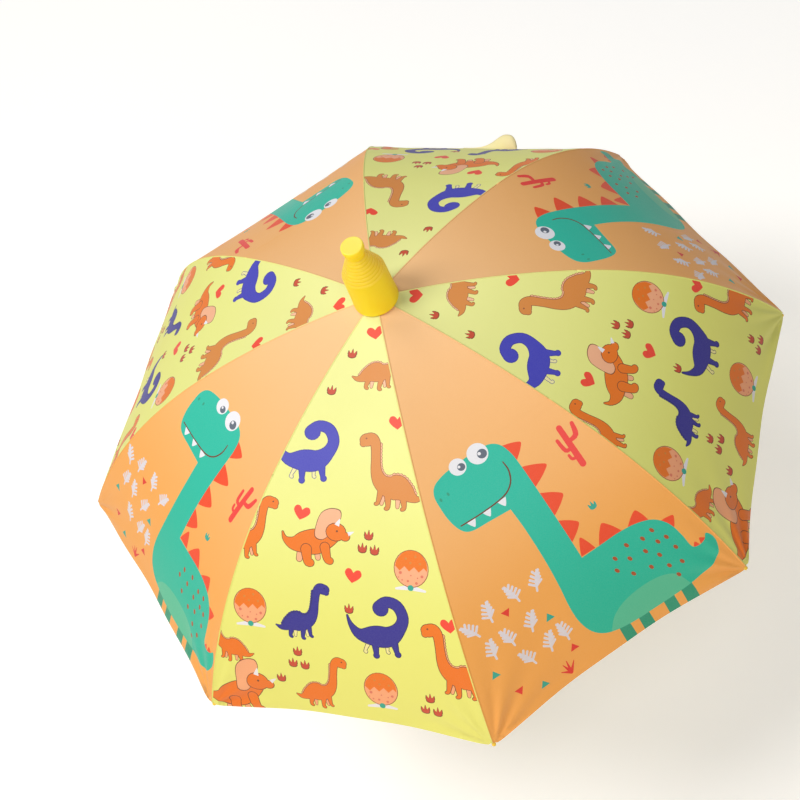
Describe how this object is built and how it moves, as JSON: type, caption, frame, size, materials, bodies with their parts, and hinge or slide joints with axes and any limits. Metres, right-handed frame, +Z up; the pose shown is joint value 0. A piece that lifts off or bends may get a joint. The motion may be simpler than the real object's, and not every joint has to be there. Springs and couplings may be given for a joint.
{
  "type": "children's umbrella",
  "caption": "Open children's umbrella with printed fabric gores, folding ribs and runner, hooked grip and a telescopic drip cover on top.",
  "frame": {"origin": "middle of the straight hand grip, on the shaft's axis", "axes": "+Z up the shaft to the cap, +X towards the open side of the grip's hook, -Y along the first rib"},
  "size_m": [0.8164, 0.8164, 0.692],
  "materials": {
    "shaft_steel": "polished",
    "grip_plastic": "gloss",
    "ferrule_metal": "polished",
    "hub_plastic": "satin",
    "wire_steel": "satin",
    "lining_fabric": "matte",
    "cover_plastic": "satin",
    "strap_fabric": "matte",
    "rib_steel": "satin",
    "rib_fibre": "satin",
    "tip_plastic": "gloss",
    "gore_orange": "matte",
    "gore_yellow": "matte"
  },
  "bodies": {
    "shaft": {"shaft_tube": "shaft_steel", "handle": "grip_plastic", "handle_ferrule": "ferrule_metal", "crown_notch": "hub_plastic", "crown_wire": "wire_steel", "inner_rosette": "lining_fabric", "cover_cap": "cover_plastic"},
    "rib_1": {"rib_1": "rib_steel", "canopy_gore_1": "gore_orange"},
    "rib_tail_1": {"rib_tail_1": "rib_fibre", "rib_tip_1": "tip_plastic"},
    "stretcher_1": {"stretcher_1": "rib_steel"},
    "rib_2": {"rib_2": "rib_steel", "canopy_gore_2": "gore_yellow"},
    "rib_tail_2": {"rib_tail_2": "rib_fibre", "rib_tip_2": "tip_plastic"},
    "stretcher_2": {"stretcher_2": "rib_steel"},
    "rib_3": {"rib_3": "rib_steel", "canopy_gore_3": "gore_orange"},
    "rib_tail_3": {"rib_tail_3": "rib_fibre", "rib_tip_3": "tip_plastic"},
    "stretcher_3": {"stretcher_3": "rib_steel"},
    "rib_4": {"rib_4": "rib_steel", "canopy_gore_4": "gore_yellow"},
    "rib_tail_4": {"rib_tail_4": "rib_fibre", "rib_tip_4": "tip_plastic", "closure_strap": "strap_fabric"},
    "stretcher_4": {"stretcher_4": "rib_steel"},
    "rib_5": {"rib_5": "rib_steel", "canopy_gore_5": "gore_orange"},
    "rib_tail_5": {"rib_tail_5": "rib_fibre", "rib_tip_5": "tip_plastic"},
    "stretcher_5": {"stretcher_5": "rib_steel"},
    "rib_6": {"rib_6": "rib_steel", "canopy_gore_6": "gore_yellow"},
    "rib_tail_6": {"rib_tail_6": "rib_fibre", "rib_tip_6": "tip_plastic"},
    "stretcher_6": {"stretcher_6": "rib_steel"},
    "rib_7": {"rib_7": "rib_steel", "canopy_gore_7": "gore_orange"},
    "rib_tail_7": {"rib_tail_7": "rib_fibre", "rib_tip_7": "tip_plastic"},
    "stretcher_7": {"stretcher_7": "rib_steel"},
    "rib_8": {"rib_8": "rib_steel", "canopy_gore_8": "gore_yellow"},
    "rib_tail_8": {"rib_tail_8": "rib_fibre", "rib_tip_8": "tip_plastic"},
    "stretcher_8": {"stretcher_8": "rib_steel"},
    "runner": {"runner": "hub_plastic", "runner_wire": "wire_steel"},
    "top_catch": {"top_catch": "wire_steel"},
    "bottom_catch": {"bottom_catch": "wire_steel"},
    "cover_ring_1": {"cover_ring_1": "cover_plastic"},
    "cover_ring_2": {"cover_ring_2": "cover_plastic"},
    "cover_ring_3": {"cover_ring_3": "cover_plastic"},
    "cover_ring_4": {"cover_ring_4": "cover_plastic"},
    "cover_ring_5": {"cover_ring_5": "cover_plastic"},
    "cover_ring_6": {"cover_ring_6": "cover_plastic"},
    "cover_ring_7": {"cover_ring_7": "cover_plastic"},
    "cover_cup": {"cover_cup": "cover_plastic"}
  },
  "joints": [
    {"name": "rib_1_fold", "type": "hinge", "parent": "shaft", "child": "rib_1", "pos_m": [0, -0.0085, 0.535], "axis": [1, 0, 0], "range_deg": [0, 73.05], "deforming": ["canopy_gore_1", "canopy_gore_2", "canopy_gore_3", "canopy_gore_4", "canopy_gore_5", "canopy_gore_6", "canopy_gore_7", "canopy_gore_8", "inner_rosette", "closure_strap", "top_catch", "bottom_catch"]},
    {"name": "rib_tail_1_bend", "type": "hinge", "parent": "rib_1", "child": "rib_tail_1", "pos_m": [0, -0.202, 0.48693], "axis": [1, 0, 0], "range_deg": [-22.5, 0]},
    {"name": "stretcher_1_swing", "type": "hinge", "parent": "rib_1", "child": "stretcher_1", "pos_m": [0, -0.202, 0.48693], "axis": [1, 0, 0], "range_deg": [-146.15, 0]},
    {"name": "rib_2_fold", "type": "hinge", "parent": "shaft", "child": "rib_2", "pos_m": [0.00601, -0.00601, 0.535], "axis": [0.7071, 0.7071, 0], "range_deg": [0, 73.05]},
    {"name": "rib_tail_2_bend", "type": "hinge", "parent": "rib_2", "child": "rib_tail_2", "pos_m": [0.14284, -0.14284, 0.48693], "axis": [0.7071, 0.7071, 0], "range_deg": [-22.5, 0]},
    {"name": "stretcher_2_swing", "type": "hinge", "parent": "rib_2", "child": "stretcher_2", "pos_m": [0.14284, -0.14284, 0.48693], "axis": [0.7071, 0.7071, 0], "range_deg": [-146.15, 0]},
    {"name": "rib_3_fold", "type": "hinge", "parent": "shaft", "child": "rib_3", "pos_m": [0.0085, 0, 0.535], "axis": [0, 1, 0], "range_deg": [0, 73.05]},
    {"name": "rib_tail_3_bend", "type": "hinge", "parent": "rib_3", "child": "rib_tail_3", "pos_m": [0.202, 0, 0.48693], "axis": [0, 1, 0], "range_deg": [-22.5, 0]},
    {"name": "stretcher_3_swing", "type": "hinge", "parent": "rib_3", "child": "stretcher_3", "pos_m": [0.202, 0, 0.48693], "axis": [0, 1, 0], "range_deg": [-146.15, 0]},
    {"name": "rib_4_fold", "type": "hinge", "parent": "shaft", "child": "rib_4", "pos_m": [0.00601, 0.00601, 0.535], "axis": [-0.7071, 0.7071, 0], "range_deg": [0, 73.05]},
    {"name": "rib_tail_4_bend", "type": "hinge", "parent": "rib_4", "child": "rib_tail_4", "pos_m": [0.14284, 0.14284, 0.48693], "axis": [-0.7071, 0.7071, 0], "range_deg": [-22.5, 0]},
    {"name": "stretcher_4_swing", "type": "hinge", "parent": "rib_4", "child": "stretcher_4", "pos_m": [0.14284, 0.14284, 0.48693], "axis": [-0.7071, 0.7071, 0], "range_deg": [-146.15, 0]},
    {"name": "rib_5_fold", "type": "hinge", "parent": "shaft", "child": "rib_5", "pos_m": [0, 0.0085, 0.535], "axis": [-1, 0, 0], "range_deg": [0, 73.05]},
    {"name": "rib_tail_5_bend", "type": "hinge", "parent": "rib_5", "child": "rib_tail_5", "pos_m": [0, 0.202, 0.48693], "axis": [-1, 0, 0], "range_deg": [-22.5, 0]},
    {"name": "stretcher_5_swing", "type": "hinge", "parent": "rib_5", "child": "stretcher_5", "pos_m": [0, 0.202, 0.48693], "axis": [-1, 0, 0], "range_deg": [-146.15, 0]},
    {"name": "rib_6_fold", "type": "hinge", "parent": "shaft", "child": "rib_6", "pos_m": [-0.00601, 0.00601, 0.535], "axis": [-0.7071, -0.7071, 0], "range_deg": [0, 73.05]},
    {"name": "rib_tail_6_bend", "type": "hinge", "parent": "rib_6", "child": "rib_tail_6", "pos_m": [-0.14284, 0.14284, 0.48693], "axis": [-0.7071, -0.7071, 0], "range_deg": [-22.5, 0]},
    {"name": "stretcher_6_swing", "type": "hinge", "parent": "rib_6", "child": "stretcher_6", "pos_m": [-0.14284, 0.14284, 0.48693], "axis": [-0.7071, -0.7071, 0], "range_deg": [-146.15, 0]},
    {"name": "rib_7_fold", "type": "hinge", "parent": "shaft", "child": "rib_7", "pos_m": [-0.0085, 0, 0.535], "axis": [0, -1, 0], "range_deg": [0, 73.05]},
    {"name": "rib_tail_7_bend", "type": "hinge", "parent": "rib_7", "child": "rib_tail_7", "pos_m": [-0.202, 0, 0.48693], "axis": [0, -1, 0], "range_deg": [-22.5, 0]},
    {"name": "stretcher_7_swing", "type": "hinge", "parent": "rib_7", "child": "stretcher_7", "pos_m": [-0.202, 0, 0.48693], "axis": [0, -1, 0], "range_deg": [-146.15, 0]},
    {"name": "rib_8_fold", "type": "hinge", "parent": "shaft", "child": "rib_8", "pos_m": [-0.00601, -0.00601, 0.535], "axis": [0.7071, -0.7071, 0], "range_deg": [0, 73.05]},
    {"name": "rib_tail_8_bend", "type": "hinge", "parent": "rib_8", "child": "rib_tail_8", "pos_m": [-0.14284, -0.14284, 0.48693], "axis": [0.7071, -0.7071, 0], "range_deg": [-22.5, 0]},
    {"name": "stretcher_8_swing", "type": "hinge", "parent": "rib_8", "child": "stretcher_8", "pos_m": [-0.14284, -0.14284, 0.48693], "axis": [0.7071, -0.7071, 0], "range_deg": [-146.15, 0]},
    {"name": "runner_pivot", "type": "hinge", "parent": "stretcher_1", "child": "runner", "pos_m": [0, -0.0085, 0.43887], "axis": [1, 0, 0], "range_deg": [0, 73.1]},
    {"name": "top_catch_press", "type": "hinge", "parent": "shaft", "child": "top_catch", "pos_m": [0.00225, 0, 0.37227], "axis": [0, -1, 0], "range_deg": [0, 5], "stiffness_Nm_per_rad": 0.2},
    {"name": "bottom_catch_press", "type": "hinge", "parent": "shaft", "child": "bottom_catch", "pos_m": [0.00225, 0, 0.13579], "axis": [0, 1, 0], "range_deg": [0, 5], "stiffness_Nm_per_rad": 0.2},
    {"name": "cover_lift", "type": "slide", "parent": "shaft", "child": "cover_cup", "axis": [0, 0, 1], "range_m": [0, 0.0272]},
    {"name": "cover_ring_1_lift", "type": "slide", "parent": "shaft", "child": "cover_ring_1", "axis": [0, 0, 1], "range_m": [0, 0.0035]},
    {"name": "cover_ring_2_lift", "type": "slide", "parent": "shaft", "child": "cover_ring_2", "axis": [0, 0, 1], "range_m": [0, 0.0069]},
    {"name": "cover_ring_3_lift", "type": "slide", "parent": "shaft", "child": "cover_ring_3", "axis": [0, 0, 1], "range_m": [0, 0.0103]},
    {"name": "cover_ring_4_lift", "type": "slide", "parent": "shaft", "child": "cover_ring_4", "axis": [0, 0, 1], "range_m": [0, 0.0137]},
    {"name": "cover_ring_5_lift", "type": "slide", "parent": "shaft", "child": "cover_ring_5", "axis": [0, 0, 1], "range_m": [0, 0.0171]},
    {"name": "cover_ring_6_lift", "type": "slide", "parent": "shaft", "child": "cover_ring_6", "axis": [0, 0, 1], "range_m": [0, 0.0205]},
    {"name": "cover_ring_7_lift", "type": "slide", "parent": "shaft", "child": "cover_ring_7", "axis": [0, 0, 1], "range_m": [0, 0.0239]}
  ],
  "couplings": [
    {"joint": "rib_tail_1_bend", "follows": "rib_1_fold", "ratio": -0.3073},
    {"joint": "stretcher_1_swing", "follows": "rib_1_fold", "ratio": -2},
    {"joint": "rib_2_fold", "follows": "rib_1_fold", "ratio": 1},
    {"joint": "rib_tail_2_bend", "follows": "rib_1_fold", "ratio": -0.3073},
    {"joint": "stretcher_2_swing", "follows": "rib_1_fold", "ratio": -2},
    {"joint": "rib_3_fold", "follows": "rib_1_fold", "ratio": 1},
    {"joint": "rib_tail_3_bend", "follows": "rib_1_fold", "ratio": -0.3073},
    {"joint": "stretcher_3_swing", "follows": "rib_1_fold", "ratio": -2},
    {"joint": "rib_4_fold", "follows": "rib_1_fold", "ratio": 1},
    {"joint": "rib_tail_4_bend", "follows": "rib_1_fold", "ratio": -0.3073},
    {"joint": "stretcher_4_swing", "follows": "rib_1_fold", "ratio": -2},
    {"joint": "rib_5_fold", "follows": "rib_1_fold", "ratio": 1},
    {"joint": "rib_tail_5_bend", "follows": "rib_1_fold", "ratio": -0.3073},
    {"joint": "stretcher_5_swing", "follows": "rib_1_fold", "ratio": -2},
    {"joint": "rib_6_fold", "follows": "rib_1_fold", "ratio": 1},
    {"joint": "rib_tail_6_bend", "follows": "rib_1_fold", "ratio": -0.3073},
    {"joint": "stretcher_6_swing", "follows": "rib_1_fold", "ratio": -2},
    {"joint": "rib_7_fold", "follows": "rib_1_fold", "ratio": 1},
    {"joint": "rib_tail_7_bend", "follows": "rib_1_fold", "ratio": -0.3073},
    {"joint": "stretcher_7_swing", "follows": "rib_1_fold", "ratio": -2},
    {"joint": "rib_8_fold", "follows": "rib_1_fold", "ratio": 1},
    {"joint": "rib_tail_8_bend", "follows": "rib_1_fold", "ratio": -0.3073},
    {"joint": "stretcher_8_swing", "follows": "rib_1_fold", "ratio": -2},
    {"joint": "runner_pivot", "follows": "rib_1_fold", "ratio": 1},
    {"joint": "cover_ring_1_lift", "follows": "cover_lift", "ratio": 0.125},
    {"joint": "cover_ring_2_lift", "follows": "cover_lift", "ratio": 0.25},
    {"joint": "cover_ring_3_lift", "follows": "cover_lift", "ratio": 0.375},
    {"joint": "cover_ring_4_lift", "follows": "cover_lift", "ratio": 0.5},
    {"joint": "cover_ring_5_lift", "follows": "cover_lift", "ratio": 0.625},
    {"joint": "cover_ring_6_lift", "follows": "cover_lift", "ratio": 0.75},
    {"joint": "cover_ring_7_lift", "follows": "cover_lift", "ratio": 0.875}
  ]
}
